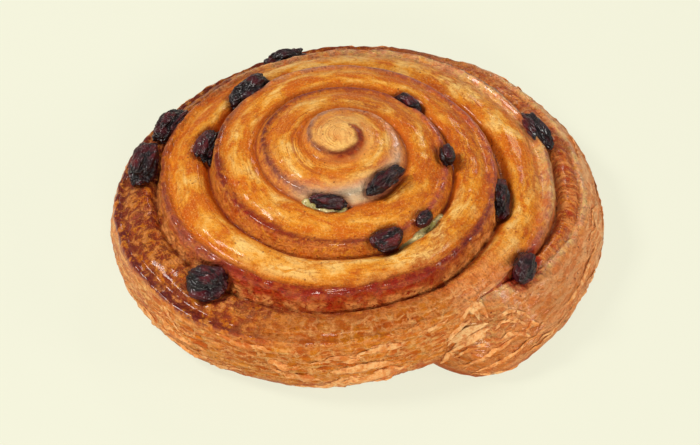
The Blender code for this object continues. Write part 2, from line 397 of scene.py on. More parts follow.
raisins = {
    "spots": [               # turn, share of the width, length, width, height, heading, lift, in mm and degrees
        (3.75, 0.24, 11.5, 8.0, 7.0, 0, 1.2),
        (3.65, 0.18, 10.5, 6.5, 6.0, 0, 0.9),
        (4.68, 0.36, 11.0, 6.0, 6.0, 0, 1.0),
        (4.63, 0.50, 12.0, 6.6, 6.2, 0, 1.2),
        (4.48, 0.37, 9.6, 9.0, 6.6, 20, 1.2),
        (4.81, 0.34, 10.0, 5.5, 5.5, 0, 1.0),
        (2.968, 0.13, 8.0, 4.8, 5.0, 0, 0.7),
        (3.11, 0.03, 5.6, 3.7, 4.3, 0, 0.4),
        (4.14, 0.12, 10.8, 4.8, 5.2, 8, 0.7),
        (5.05, 0.07, 13.0, 4.6, 5.0, 5, 0.6),
        (2.25, 0.03, 10.5, 4.2, 4.8, 0, -0.1),
        (2.39, 0.07, 8.5, 3.6, 4.3, 0, -0.4),
        (3.30, 0.07, 7.8, 5.0, 4.8, 10, 0.6),
        (3.24, 0.05, 4.6, 3.0, 3.6, 0, 0.0),
        (5.20, 0.40, 8.0, 5.4, 5.2, 30, 0.8),
    ],
    "fineness": 6,       # ico sphere subdivisions
    "foldDepth": 0.30,
    "lumpiness": 0.22,
    "small": 7,          # mm, up to here a raisin has fewer faces
    "full": 10,          # mm, below this its folds and lumps are flatter
    "tones": {
        "dark": rgb(40, 7, 16),
        "red": rgb(76, 13, 22),
        "brown": rgb(132, 36, 26),
        # the near-black laid into the raisin's folds is painted shade
        "fold": rgb(14, 4, 8),
        # the skin's own pale bloom, which is also a painted sheen where it lies on the ridges
        "bloom": rgb(118, 84, 100),
    },
}

section = {              # the dough between two crests, by share of its width
    "drop": [(0, 1), (0.025, 0.96), (0.05, 0.84), (0.08, 0.62), (0.115, 0.40), (0.16, 0.30), (0.27, 0.26),
             (0.45, 0.17), (0.66, 0.06), (0.86, 0.0), (1, 0)],
    "rise": [(0, 0.0), (0.05, 0.0), (0.10, -0.7), (0.155, -1.6), (0.20, -1.0), (0.29, 0.35), (0.45, 1.15),
             (0.60, 1.15), (0.72, 0.75), (0.84, -0.2), (0.90, -0.1), (0.95, 0.5), (0.98, 0.35), (1, 0.0)],
    "opensBy": 0.3,
    "fullWidth": 7.0,
    # the inner turns step down more gently
    "softDrop": [(0, 1), (0.03, 0.92), (0.08, 0.74), (0.14, 0.60), (0.2, 0.51), (0.3, 0.40), (0.45, 0.25),
                 (0.66, 0.09), (0.86, 0), (1, 0)],
    "softRise": [(0, 0.0), (0.10, -0.4), (0.155, -0.75), (0.20, -0.35), (0.29, 0.25), (0.45, 0.8), (0.60, 0.9),
                 (0.72, 0.6), (0.84, 0.1), (0.90, 0.0), (0.95, 0.1), (0.98, 0.1), (1, 0.0)],
    "softUntil": (2.9, 3.35),
    "slits": [(3.24, 0.05, 0.10)],    # turn, half length, reach
    "rowSpread": [(0, 0), (0.22, 0.12), (0.34, 0.22), (0.8, 0.84), (1, 1)],
    "rows": 40,
    "wallRows": 46,
    "wallBulge": 1.2,
    "tuck": 2.4,
    "curl": (36, -36, 15),            # mm from the coil's middle: the wall's layers bend round it
}
curlPlace = tuple(v * mm for v in section["curl"])



def lineAt(points, share):
    return float(np.interp(share, [p[0] for p in points], [p[1] for p in points]))


def bandPoint(turn, share):  # a point on top of the strip, from the coil's middle
    inner, outer = crest(turn - 1), crest(turn)
    opened = float(tidyStep(0, section["opensBy"], turn - 1))
    full = min(1.0, (outer - inner).length / (section["fullWidth"] * mm))
    step = inner.z - outer.z
    point = inner.lerp(outer, share)
    openTop = outer.z + step * lineAt(section["drop"], share) + lineAt(section["rise"], share) * full * mm
    point.z = blendOf(outer.z + step * (1 - share), openTop, opened)
    return point


def raisinPlace(turn, share, heading, lift):
    point = bandPoint(turn, share)
    ahead = bandPoint(turn + 0.01, share) - point
    yaw = math.atan2(ahead.y, ahead.x) + math.radians(heading)
    point = point + coilMiddle
    point.z += lift * mm
    return Matrix.Translation(point) @ Matrix.Rotation(yaw, 4, "Z")


def raisinTree():
    tree, g, given = newTree("wrinkled raisin", {
        "Size": "Vector", "Fineness": "Int", "Fold depth": "Float", "Lumpiness": "Float", "Seed": "Float",
        "Skin": "Material"})
    ball = g.add("GeometryNodeMeshIcoSphere", None, {"Radius": 0.5, "Subdivisions": given["Fineness"]})
    way = g.vector("NORMALIZE", g.place())
    shift = g.joined(given["Seed"], given["Seed"] * 0.7, 0.0)
    spot = g.vector("ADD", g.vector("MULTIPLY", way, (0.35, 1.0, 1.0)), shift)
    lump = g.noise(g.vector("ADD", way, shift), 1.3, 0.0) - 0.5
    lobe = g.noise(spot, 1.25, 0.0, 0.4, 0.5).eased(0.35, 0.6)
    ridge = g.noise(spot, 3.4, 1.0, 0.4, 0.4).eased(0.36, 0.62)
    small = g.noise(spot, 8.0, 1.0, 0.5, 0.2).eased(0.35, 0.65)
    # how deep each fold is: it shapes the skin and is stored for the painted shade in the folds
    fold = 1 - (lobe * 0.48 + ridge * 0.36 + small * 0.16)
    radius = 0.56 * (1 + lump * given["Lumpiness"] * 2 - fold * given["Fold depth"])
    shaped = g.moved(ball, Position=g.vector("MULTIPLY", g.scaled(way, radius), given["Size"]))
    g.finish(g.stored(shaped, {"fold": fold}), given["Skin"])
    return tree


def raisinSkin():
    material, g = newMaterial("raisin skin", raisins["tones"])
    spot, fold = g.spot(), g.attribute("fold")
    patch = g.noise(spot, 240.0, 2.0)
    bloom = g.noise(spot, 1100.0, 3.0, 0.6)
    crease = g.noise(spot, 620.0, 2.0, 0.5, 1.2)
    colour = (
        g.blend(patch.eased(0.38, 0.6), "dark", "red")
        .coated(patch.eased(0.56, 0.7) * 0.28, "brown")
        # painted shade: darker the deeper the fold
        .coated(fold.eased(0.2, 0.7), "fold")
        # real bloom, and painted sheen where it lies on the ridges
        .coated(bloom.eased(0.58, 0.72) * (1 - fold).clamped() * 0.22, "bloom")
    )
    g.surface({
        "Base Color": colour, "Roughness": bloom * 0.3 + 0.18, "Specular IOR Level": 0.3,
        "Coat Weight": 0.3, "Coat Roughness": 0.07, "IOR": 1.45}, bloom * 0.5 + crease + patch * 0.5)
    return material


def makeRaisins():
    tree = raisinTree()
    skin = raisinSkin()
    made = []
    for number, (turn, share, length, width, height, heading, lift) in enumerate(raisins["spots"], 1):
        name = f"raisin_{number:02d}"
        mesh = meshFromTree(name + "Skin", tree, {
            "Size": (length * mm, width * mm, height * mm),
            "Fineness": raisins["fineness"] - (length <= raisins["small"]),
            "Fold depth": raisins["foldDepth"] * min(1, length / raisins["full"]),
            "Lumpiness": raisins["lumpiness"] * min(1, length / raisins["full"]),
            "Seed": number * 3.7,
            "Skin": skin,
        })
        mesh.transform(raisinPlace(turn, share, heading, lift))
        mesh.shade_smooth()
        obj = plainObject(name + "Skin", mesh)
        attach(obj, "root")
        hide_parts(name)
        made.append(obj)
    print("raisins made", len(made))
    return made


raisinPieces = makeRaisins()
raisinCollection = bpy.data.collections.new("raisins")
for piece in raisinPieces:
    raisinCollection.objects.link(piece)


# The dough: one tree makes the top of the coil and its outer wall.
dough = {
    "Columns": columns,
    "Steps per turn": steps,
    "Rows": section["rows"],
    "Wall rows": section["wallRows"],
    "Lump height": 0.5 * mm,
    "Blister height": 0.62 * mm,
    "Layer line height": 0.18 * mm,
    "Wall layer height": 0.85 * mm,
    "Wall layers": 9.0,
    "Seed": 4.0,
}


def doughTop(g, given, crests):  # the top of the strip, from the middle outwards
    perTurn = given["Steps per turn"]
    x, y, _ = g.split(g.place())
    column = ((x + 0.5) * given["Columns"]).calc("ROUND")
    turn = column / perTurn
    share = g.curve(section["rowSpread"], y + 0.5)
    inner, outer = g.sampled(crests, column), g.sampled(crests, column + perTurn)
    width = g.vector("DISTANCE", inner, outer, out="Value")
    innerZ, outerZ = g.split(inner)[2], g.split(outer)[2]
    steep = turn.eased(*section["softUntil"])
    for middle, half, reach in section["slits"]:
        steep = steep.most((turn - middle).calc("ABSOLUTE").faded(half, reach))

    def profile(soft, full, low, span):
        curves = [g.curve([(s, (v - low) / span) for s, v in section[name]], share) * span + low
                  for name in (soft, full)]
        return curves[0] + (curves[1] - curves[0]) * steep

    drop = profile("softDrop", "drop", 0.0, 1.0)
    rise = profile("softRise", "rise", -2.0, 4.0) * mm * (width / (section["fullWidth"] * mm)).least(1.0)
    rise = rise * (1 - share.eased(0.78, 0.9) * turn.eased(4.2, 4.4) * 0.75)
    opened = (turn - 1).eased(0.0, section["opensBy"]) * 0.45 + (turn - 1).eased(0.4, 1.1) * 0.55
    step = innerZ - outerZ
    closedTop = outerZ + step * (1 - share)
    openTop = outerZ + step * drop + rise
    flat = g.split(g.between(inner, outer, share))
    top = g.stored(g.grid(given["Columns"], given["Rows"]), {
        "coilPlace": turn - 1 + share, "share": share, "fromInner": share * width / mm,
        "fromOuter": (1 - share) * width / mm, "down": 0.0, "open": opened,
        "crestTurn": turn - share.calc("LESS_THAN", 0.5), "turn": turn}, "CORNER")
    return g.moved(top, Position=g.joined(flat[0], flat[1], closedTop + (openTop - closedTop) * opened))


def doughWall(g, given, crests, feet):  # the outer wall, one turn long
    perTurn = given["Steps per turn"]
    x, y, _ = g.split(g.place())
    column = ((x + 0.5) * perTurn).calc("ROUND")
    turn = column / perTurn + coil["turns"] - 1
    down = 0.5 + y
    rim, foot = g.sampled(crests, column + given["Columns"]), g.sampled(feet, column)
    flat = g.between(rim, foot, (down * (math.pi / 2)).calc("SINE"))
    way = g.vector("NORMALIZE", g.vector("MULTIPLY", g.vector("SUBTRACT", flat, tuple(coilMiddle)), (1, 1, 0)))
    bulge = (down * math.pi).calc("SINE").most(0.0) ** 0.7 * section["wallBulge"] - section["tuck"] * down**4.0
    flat = g.split(g.vector("ADD", flat, g.scaled(way, bulge * mm)))
    wall = g.stored(g.grid(perTurn, given["Wall rows"]), {
        "coilPlace": turn, "share": 1.0, "fromInner": 9.0, "fromOuter": down * 13.0, "down": down, "open": 1.0,
        "crestTurn": turn, "turn": turn}, "CORNER")
    return g.moved(wall, Position=g.joined(flat[0], flat[1], g.split(rim)[2] * (1 - down)))


def doughRelief(g, given, both):  # relief, moved along the surface's own normal
    seed, along, down = given["Seed"], g.named("coilPlace"), g.named("down")
    spot = g.vector("SUBTRACT", g.place(), tuple(coilMiddle))
    x, y, _ = g.split(spot)
    ringX, ringY, _ = g.around(x, y)
    onWall, outerRing = down.eased(0.02, 0.16), g.named("turn").eased(4.1, 4.3)
    lump = g.noise(g.vector("ADD", spot, g.joined(seed, 0.0, 0.0)), 90.0, 2.0) - 0.5
    blister = g.noise(g.vector("ADD", spot, g.joined(0.0, seed, 0.0)), 430.0, 3.0, 0.6, 0.3) - 0.5
    pits = 0.5 - g.cells(spot, 330.0, "SMOOTH_F1")
    lines = g.streaks(ringX, ringY, 4.0, along * 15.0, 3.0, 0.6, 0.2) - 0.5
    wave = g.streaks(ringX, ringY, 3.0, down * 1.5 + seed, 3.0, 0.55) - 0.5
    ragged = g.streaks(ringX, ringY, 22.0, down * 7.0, 3.0, 0.6) - 0.5
    ply = down * given["Wall layers"] + wave * 5.0 + ragged * 1.1
    phase = ply.calc("FRACT")
    shingle = phase**0.8 * phase.faded(0.82, 1.0) - 0.35
    strength = g.streaks(ringX, ringY, 6.0, ply.calc("FLOOR") * 3.0 + down, 1.0).eased(0.3, 0.65) * 0.8 + 0.2
    bumps = (blister * 1.5 + pits * 0.7) * given["Blister height"]
    lipZone = (g.named("fromOuter").least(g.named("fromInner")) / 1.8).bell() * along.eased(3.0, 3.3)
    relief = lump * given["Lump height"] * 2
    relief = relief + bumps * (outerRing * 0.95 + 0.2 + lipZone * 0.9).least(1.25) * (1 - onWall * 0.4)
    lineShare = (1 - onWall) * (1 - outerRing * 0.5) * (along.eased(0.0, 0.8) * 0.8 + 0.2)
    relief = relief + lines * given["Layer line height"] * 2 * lineShare
    relief = relief + shingle * given["Wall layer height"] * strength * onWall * down.faded(0.94, 1.0)
    curl = g.vector("DISTANCE", spot, curlPlace, out="Value") / mm
    arcs = ((curl + lump * 6.0) / 2.5).calc("FRACT")
    relief = relief + (arcs - 0.5) * curl.faded(5.0, 8.5) * onWall * 0.6 * mm
    fruit = g.add("GeometryNodeCollectionInfo", None, {"Collection": given["Raisins"]})
    fruit = g.add("GeometryNodeRealizeInstances", None, {0: fruit})
    near = g.nearest(fruit, "Distance")
    relief = relief - (near / (0.9 * mm)).bell() * 0.7 * mm
    # how near each point is to a raisin, kept for the painted shade round it
    marks = {"nearRaisin": (-(near / (1.6 * mm))).calc("EXPONENT"), "shingle": phase * strength * onWall}
    offset = g.scaled(g.add("GeometryNodeInputNormal"), relief)
    return g.moved(g.stored(both, marks), Selection=down.calc("LESS_THAN", 0.999), Offset=offset)


def doughTree():
    tree, g, given = newTree("coiled dough", {
        "Crest line": "Object", "Foot line": "Object", "Raisins": "Collection", "Crust": "Material",
        "Columns": "Int", "Steps per turn": "Int", "Rows": "Int", "Wall rows": "Int", "Lump height": "Float",
        "Blister height": "Float", "Layer line height": "Float", "Wall layer height": "Float",
        "Wall layers": "Float", "Seed": "Float"})
    crests, feet = g.shapeOf(given["Crest line"]), g.shapeOf(given["Foot line"])
    parts = [doughWall(g, given, crests, feet), doughTop(g, given, crests)]
    both = g.add("GeometryNodeJoinGeometry", None, {0: parts})
    both = g.add("GeometryNodeMergeByDistance", None, {"Geometry": both, "Distance": 0.01 * mm})
    g.finish(doughRelief(g, given, both), given["Crust"])
    return tree


tone = {
    "golden": rgb(222, 128, 8),
    "amber": rgb(206, 96, 0),
    "honey": rgb(240, 162, 40),
    "cream": rgb(252, 208, 124),
    # salmon: laid on the crests as painted sheen and on the wall's sides as painted light
    "salmon": rgb(238, 166, 122),
    "peach": rgb(242, 156, 82),
    "tan": rgb(216, 124, 40),
    "rust": rgb(168, 66, 12),
    "mahogany": rgb(124, 34, 12),
    "maroon": rgb(176, 34, 0),
    "plum": rgb(128, 34, 26),
    "pinkPlum": rgb(188, 86, 62),
    # pink plum: the crests' purple with a painted sheen in it
    "pale": rgb(244, 208, 148),
    "toast": rgb(216, 140, 70),
    "slit": rgb(222, 190, 138),
    "ivory": rgb(226, 202, 166),
    "bark": rgb(196, 84, 20),
    "ember": rgb(214, 92, 18),
    "burnt": rgb(186, 76, 8),
    "web": rgb(252, 192, 118),
    # these two are painted light on the wall's right side
    "glow": rgb(255, 206, 150),
    "apricot": rgb(250, 166, 96),
    "tail": rgb(186, 84, 24),
    "flake": rgb(248, 196, 132),
}

crust = {
    "turns": 5.3,            # what the lists by turn are measured on
    "widest": 4,             # mm, more than any lip
    "lips": [                # the crest's colour and its width in mm, by turn; its salmon and pink plum tones are painted sheen
        (0.0, "rust", 0.9), (0.1, "mahogany", 1.0), (0.4, "rust", 0.8), (0.74, "salmon", 0.9),
        (1.2, "salmon", 1.1), (1.48, "pinkPlum", 1.1), (1.66, "plum", 1.0), (1.95, "pinkPlum", 1.2),
        (2.2, "pinkPlum", 0.9), (2.4, "rust", 1.2), (2.5, "maroon", 1.5), (2.65, "mahogany", 1.2),
        (2.8, "salmon", 1.0), (2.95, "pinkPlum", 1.3), (3.1, "pinkPlum", 1.4), (3.22, "plum", 1.4),
        (3.30, "maroon", 2.8), (3.45, "maroon", 2.6), (3.5, "pinkPlum", 2.2), (3.66, "rust", 0.9),
        (3.78, "salmon", 2.2), (3.92, "salmon", 3.9), (4.1, "salmon", 3.4), (4.18, "pinkPlum", 1.2),
        (4.26, "pinkPlum", 1.0), (4.31, "golden", 0.6), (4.40, "rust", 2.0), (4.47, "plum", 3.0),
        (4.66, "plum", 3.2), (4.86, "rust", 1.4), (5.0, "salmon", 1.3), (5.25, "salmon", 1.3),
    ],
    "paleness": [            # how much cream the top of the strip shows, by turn, partly as painted highlight
        (0, 0.5), (1.0, 0.5), (1.4, 0.55), (1.6, 0.45), (2.2, 0.36), (2.35, 0.36), (2.5, 0.62), (2.7, 0.5),
        (2.9, 0.45), (3.05, 0.32), (3.2, 0.6), (3.38, 0.8), (3.5, 0.42), (3.65, 0.3), (3.85, 0.62), (4.1, 0.5),
        (5.3, 0.5),
    ],
    "noise": {               # scale, detail, roughness and warp, from patches to grains
        "broad": (60.0, 2.0),
        "mid": (230.0, 4.0, 0.6),
        "blotch": (520.0, 3.0, 0.6, 0.3),
        "fine": (800.0, 4.0, 0.65),
        "grain": (2300.0, 2.0, 0.6),
    },
}


def crustFields(g):  # what the crust's colours and relief are worked out from
    spot = g.spot()
    names = ("share", "down", "coilPlace", "open", "fromInner", "fromOuter", "nearRaisin", "shingle", "turn",
             "crestTurn")
    f = SimpleNamespace(**{name: g.attribute(name) for name in names})
    f.spot, f.along = spot, f.coilPlace
    f.x, f.y, f.z = g.split(g.vector("SUBTRACT", spot, tuple(coilMiddle)))
    f.ringX, f.ringY, f.radius = g.around(f.x, f.y)
    f.front, f.left, f.right = (-f.ringY).eased(0.1, 0.9), (-f.ringX).eased(-0.1, 0.8), f.ringX.eased(0.35, 0.85)
    f.outerRing = f.turn.eased(4.16, 4.28)
    f.middle = f.along.faded(0.1, 0.8)
    f.onWall = f.down.eased(0.0, 0.12)
    f.onTop = 1 - f.onWall
    for name, sizes in crust["noise"].items():
        setattr(f, name, g.noise(spot, *sizes))
    f.streak = g.streaks(f.x, f.y, 330, f.along * 10, 5.0, 0.66, 0.6)
    bias = g.curve([(at / crust["turns"], much) for at, much in crust["paleness"]], f.turn / crust["turns"])
    f.patch = g.streaks(f.x, f.y, 120, f.along * 3.2, 3.0, 0.55, 0.4) + (bias - 0.5) * 0.32
    f.folds = g.streaks(f.ringX, f.ringY, 13, f.share * 55 + f.mid * 3, 3.0, 0.6, 0.3)
    f.onion = g.streaks(f.x, f.y, 60, f.along * 40, 2.0, 0.5, 0.3)
    f.radial = g.streaks(f.ringX, f.ringY, 42, f.radius * 160, 3.0, 0.6, 0.4)
    swirl = g.vector("ADD", spot, g.vector("MULTIPLY", g.joined(f.mid, f.fine, f.broad), (0.003, 0.003, 0.0)))
    f.blister = g.cells(swirl, 420.0, "SMOOTH_F1")
    f.small = g.cells(swirl, 950.0, "SMOOTH_F1")
    return f


def paintTop(g, f):  # the top of the strip, paler on its hump as a painted highlight
    humpHighlight = f.share.within(0.2, 0.4, 0.62, 0.9)
    lines = f.onion.faded(0.34, 0.44) * f.mid.eased(0.38, 0.56)
    rings = g.streaks(f.x, f.y, 45, f.along * 34, 2.0, 0.5, 0.3).faded(0.36, 0.48)
    return (
        g.blend(f.streak.eased(0.36, 0.58), "amber", "golden")
        # painted highlight: honey and cream laid on the hump
        .coated(f.patch.eased(0.40, 0.58) * (humpHighlight * 0.7 + 0.15), "honey")
        .coated(f.patch.eased(0.48, 0.70) * f.streak.eased(0.34, 0.56) * (humpHighlight * 0.8 + 0.1), "cream")
        .coated(f.patch.faded(0.34, 0.48) * (0.7 - humpHighlight * 0.2), "amber")
        .coated(f.broad.faded(0.36, 0.5) * f.streak.faded(0.4, 0.6) * 0.6, "rust")
        .coated(lines * 0.3 * (1 - f.outerRing) * (1 - f.middle), "rust")
        .coated(f.fine.eased(0.54, 0.66) * 0.4, "rust")
        .coated(f.blotch.eased(0.58, 0.68) * (1 - humpHighlight * 0.4) * 0.45, "rust")
        .coated(f.grain.eased(0.54, 0.66) * 0.26, "cream")
        .coated(f.grain.faded(0.34, 0.44) * 0.22, "rust")
        .coated(f.middle * (f.mid.eased(0.36, 0.56) * 0.4 + 0.25), "cream")
        .coated(f.middle * f.blotch.faded(0.4, 0.52) * 0.5, "toast")
        .coated(rings * f.along.faded(1.1, 1.5) * f.left * f.blotch.eased(0.36, 0.5) * 0.7, "rust")
    )


def paintStep(g, f, colour):  # the step below each crest, with a dark seam at its foot
    outward = f.turn.eased(3.0, 4.1)
    slit = (f.turn - 2.34).calc("ABSOLUTE").faded(0.08, 0.16)
    step = (
        g.blend(f.mid.eased(0.36, 0.5), "amber", "tan")
        .coated(f.small.faded(0.15, 0.4) * f.fine.eased(0.36, 0.5), "honey")
        .coated(f.fine.faded(0.38, 0.48) * 0.9, "rust")
        .coated(f.grain.eased(0.52, 0.64) * 0.5, "peach")
        .coated(f.folds.faded(0.34, 0.44) * outward * 0.6, "mahogany")
        .coated(f.small.faded(0.12, 0.36) * f.turn.eased(3.6, 4.1) * 0.7, "peach")
        .coated(f.folds.eased(0.50, 0.62) * outward, "peach")
        .coated(slit, "slit")
    )
    f.drop = f.share.faded(0.10, 0.17) * f.open
    seam = ((f.share - 0.155) / (f.mid * 0.06)).bell() * f.open * f.fine.eased(0.2, 0.5)
    hook = ((f.share - 0.06) / (f.mid * 0.16)).bell() * f.turn.within(0.9, 1.0, 1.36, 1.5)
    hookTone = g.blend(f.blotch.eased(0.4, 0.55), "mahogany", "rust")
    return (
        colour.coated(f.drop * 0.8, step)
        .coated(seam * (f.turn.eased(1.8, 3.4) * 0.45 + 0.5), "mahogany")
        .coated(hook * (f.fine.eased(0.3, 0.5) * 0.4 + 0.6), hookTone)
        .coated(f.share.within(0.15, 0.19, 0.2, 0.32) * f.open * 0.7, "amber")
    )


def paintRing(g, f, colour):  # the outermost strip, blistered and darker
    bruise = f.broad.eased(0.44, 0.56) * (f.left * 0.7 + 0.2)
    ring = (
        g.blend(f.mid.eased(0.40, 0.54), "bark", "tan")
        .coated((1 - f.left) * f.mid.eased(0.38, 0.5) * 0.6, "ember")
        .coated(f.blotch.faded(0.40, 0.5) * 0.8, g.blend(f.mid.eased(0.45, 0.55), "golden", "peach"))
        .coated(f.small.faded(0.12, 0.32) * f.fine.eased(0.4, 0.54) * 0.7, "honey")
        .coated(f.blotch.eased(0.50, 0.58) * (f.left * 0.55 + 0.3), "mahogany")
        .coated(bruise * f.blotch.eased(0.44, 0.52), "plum")
        # painted highlight dots in pink plum on the left's plum patches
        .coated(bruise * f.mid.eased(0.5, 0.58) * f.fine.eased(0.46, 0.56) * 0.9, "pinkPlum")
        .coated(f.radial.faded(0.40, 0.46) * f.right * 0.7, "maroon")
        .coated(f.radial.eased(0.52, 0.60) * f.right * 0.8, "peach")
        .coated(f.folds.faded(0.36, 0.46) * f.front * 0.8, "rust")
        .coated(f.grain.faded(0.34, 0.46) * 0.4, "maroon")
        .coated(f.grain.eased(0.56, 0.68) * 0.5, "peach")
    )
    f.onStep = f.share.faded(0.12, 0.2)
    return colour.coated(f.outerRing * f.onTop * (0.95 - f.onStep * 0.5), ring)


def lipShare(g, f, edge):  # how much of a crest's colour, its painted sheen included, shows, by how far it is from the crest
    turn = f.crestTurn
    width = g.curve([(at / crust["turns"], wide / crust["widest"]) for at, _, wide in crust["lips"]],
                    turn / crust["turns"]) * crust["widest"]
    lip = (edge / width * (f.mid * 2.0 + f.fine * 1.2 - 0.6).most(0.2)).bell()
    whole = (0.4 + turn.within(3.18, 3.28, 3.46, 3.6) * 0.35 - turn.within(4.3, 4.5, 4.85, 5.0) * 0.35
             + turn.faded(0.4, 0.5) * 0.5)
    lip = lip * (f.blotch.eased(0.38, 0.52) * (1 - whole) + whole) * turn.eased(-0.12, 0.0)
    return lip * (1 - turn.within(4.25, 4.31, 4.34, 4.46))


def paintLips(g, f, colour):  # the crests, with painted sheen in their salmon, pink plum and pale tones
    turn = f.crestTurn
    ramp = [(at / crust["turns"], tone[name]) for at, name, _ in crust["lips"]]
    frontLip = turn.within(3.15, 3.28, 3.5, 3.62)
    edge = (f.fromOuter * (frontLip * 0.6 + 1.0)).least(f.fromInner * (1.8 - frontLip * 0.4))
    f.lip = lipShare(g, f, edge)
    # painted sheen: pale crests with cream streaks on the back of turn four and on the tail
    f.paleLip = turn.within(3.7, 3.78, 4.12, 4.18).most(turn.eased(4.9, 5.0))
    lips = (
        g.add("ShaderNodeValToRGB", {"stops": ramp}, {0: turn / crust["turns"]})
        .coated(f.paleLip * f.streak.eased(0.42, 0.58) * 0.75, "cream")
        .coated(f.paleLip * f.streak.faded(0.36, 0.48) * 0.45, "tan")
        .coated((1 - f.paleLip) * f.fine.eased(0.48, 0.6) * 0.5, "rust")
        .coated((1 - f.paleLip) * f.small.faded(0.10, 0.25) * 0.3, "amber")
    )
    slitLip = ((turn - 1.30) / 0.15).bell() * (edge / 2.3).bell()
    rimLine = ((edge - 0.2) / (f.mid * 0.9)).bell() * turn.within(3.82, 3.9, 4.06, 4.14)
    f.crumble = f.share.within(0.075, 0.10, 0.18, 0.24) * f.turn.within(4.0, 4.2, 4.6, 4.75) * f.onTop
    return (
        colour.coated(f.lip * f.onTop, lips)
        .coated(slitLip * (f.blotch.eased(0.3, 0.5) * 0.3 + 0.7), "ivory")
        .coated(f.crumble * f.blister.faded(0.32, 0.6) * f.fine.eased(0.36, 0.46) * 0.9, "peach")
        .coated(rimLine * f.fine.eased(0.34, 0.5) * 0.85, "mahogany")
    )


def paintWall(g, f, colour):  # pale webs over orange, with layers that stand off and bend round the curl, and painted light on its sides and right
    webSpot = g.vector("ADD", g.vector("MULTIPLY", f.spot, (0.8, 0.8, 2.2)),
                       g.joined(f.fine * 0.003, f.blotch * 0.004, f.mid * 0.006))
    f.web = g.cells(webSpot, 360.0, "DISTANCE_TO_EDGE").faded(0.02, 0.2) * f.blotch.eased(0.34, 0.5)
    f.lines = g.streaks(f.ringX, f.ringY, 9, f.z * 1500 + f.mid * 3, 3.0, 0.6, 0.2)
    f.layer = g.streaks(f.ringX, f.ringY, 14, f.z * 700, 5.0, 0.7, 0.6)
    bent = g.joined(f.x + f.mid * 0.006, f.y, f.z + f.broad * 0.01)
    curl = g.vector("DISTANCE", bent, curlPlace, out="Value") / mm
    f.arcs = ((curl + f.blotch * 2.5) / 1.25).calc("FRACT")
    f.nearCurl = curl.faded(5.0, 8.5) * curl.eased(1.0, 2.5)
    wall = (
        g.blend(f.mid.eased(0.4, 0.6), "amber", "golden")
        .coated(f.broad.faded(0.36, 0.5) * 0.3, "rust")
        .coated(f.layer.eased(0.53, 0.64) * 0.6, "peach")
        .coated(f.layer.eased(0.62, 0.70) * 0.45, "cream")
        .coated(f.layer.faded(0.36, 0.44) * (0.5 - f.right * 0.25), "burnt")
        .coated(f.web * 0.7, "peach")
        .coated(f.web * f.fine.eased(0.46, 0.58) * 0.6, "web")
        .coated(f.lines.eased(0.5, 0.62) * (0.7 - f.front * 0.55), "cream")
        .coated(f.lines.faded(0.38, 0.46) * (0.5 - f.front * 0.2), "rust")
        .coated(f.shingle.eased(0.6, 0.85) * 0.5, "cream")
        .coated(f.grain.faded(0.34, 0.44) * 0.3, "rust")
        .coated(f.arcs.eased(0.4, 0.9) * f.nearCurl * 0.6, "cream")
        .coated(f.arcs.faded(0.05, 0.35) * f.nearCurl * 0.7, "rust")
        # painted light: the wall's sides, away from the front, paler salmon
        .coated((1 - f.front) * 0.3, "salmon")
        # painted light: the right side of the wall paler and warmer
        .coated(f.right * f.lines.eased(0.44, 0.58) * (1 - f.front * 0.5) * 0.85, "glow")
        .coated(f.right * 0.38, "apricot")
        .coated(f.turn.eased(5.12, 5.17) * 0.3, "tail")
        .coated(f.down.eased(0.74, 0.98) * f.mid.eased(0.34, 0.5) * 0.75, "rust")
    )
    shoulder = f.share.eased(0.3, 0.65) * f.turn.within(4.18, 4.26, 4.36, 4.46) * f.onTop
    return colour.coated(f.onWall.most(shoulder), wall)


def paintSpots(g, f, colour):  # dark specks, and painted shade on the crust round each raisin
    speck = g.cells(f.spot, 520.0).faded(0.10, 0.16) * g.noise(f.spot, 300.0).eased(0.5, 0.6)
    tailPlace = f.turn.eased(5.12, 5.16) * f.blotch.eased(0.4, 0.5) * f.onTop
    return (
        colour.coated(speck * 0.7, "mahogany")
        # painted shade round each raisin, and a maroon painted shade by the raisins on the tail
        .coated(f.nearRaisin.eased(0.3, 0.9) * 0.65 * f.onTop, "mahogany")
        .coated(f.nearRaisin.eased(0.14, 0.4) * tailPlace * 0.8, "maroon")
    )


def crustHeight(f):
    top = f.onTop
    rough = f.outerRing.most(f.lip * 1.5).most(f.crumble * 1.3).most(f.drop * f.turn.eased(2.0, 3.2) * 0.7) * top
    height = (f.streak - 0.5) * 0.4 * top * (1 - f.outerRing * 0.6) * (1 - f.middle * 0.8)
    height += (f.mid - 0.5) * f.middle * 1.6
    height += (f.fine - 0.5) * (rough * 0.7 + 0.6)
    height += (f.grain - 0.5) * 0.35
    height += (0.5 - f.blister) * rough * 0.6
    height += (0.4 - f.small) * rough * 0.45
    height -= (f.blotch - 0.5) * rough * 1.8
    height += (f.layer - 0.5) * f.onWall * 1.5
    height += f.web * f.onWall * 0.2
    height += (f.arcs * f.nearCurl + f.lines) * f.onWall * 0.5
    height += (f.folds - 0.5) * rough * (1 - f.right) * 0.9
    height += (f.radial - 0.5) * f.outerRing * top * (1 - f.onStep) * f.right * 1.3
    height += (f.onion - 0.5) * (1 - f.outerRing) * (1 - f.middle) * top * 0.3
    return height


def crustMaterial():
    material, g = newMaterial("baked crust", tone)
    f = crustFields(g)
    colour = paintTop(g, f)
    for paint in (paintStep, paintRing, paintLips, paintWall, paintSpots):
        colour = paint(g, f, colour)
    g.surface({
        "Base Color": colour, "Roughness": 0.46 + f.fine * 0.2 + f.onWall * 0.1 - f.lip * 0.1,
        "Coat Weight": 0.18 + f.lip * f.onTop * (1 - f.paleLip * 0.5) * 0.36, "Coat Roughness": 0.11,
        "IOR": 1.45, "Specular IOR Level": 0.2}, crustHeight(f), 0.001, 1.0)
    return material


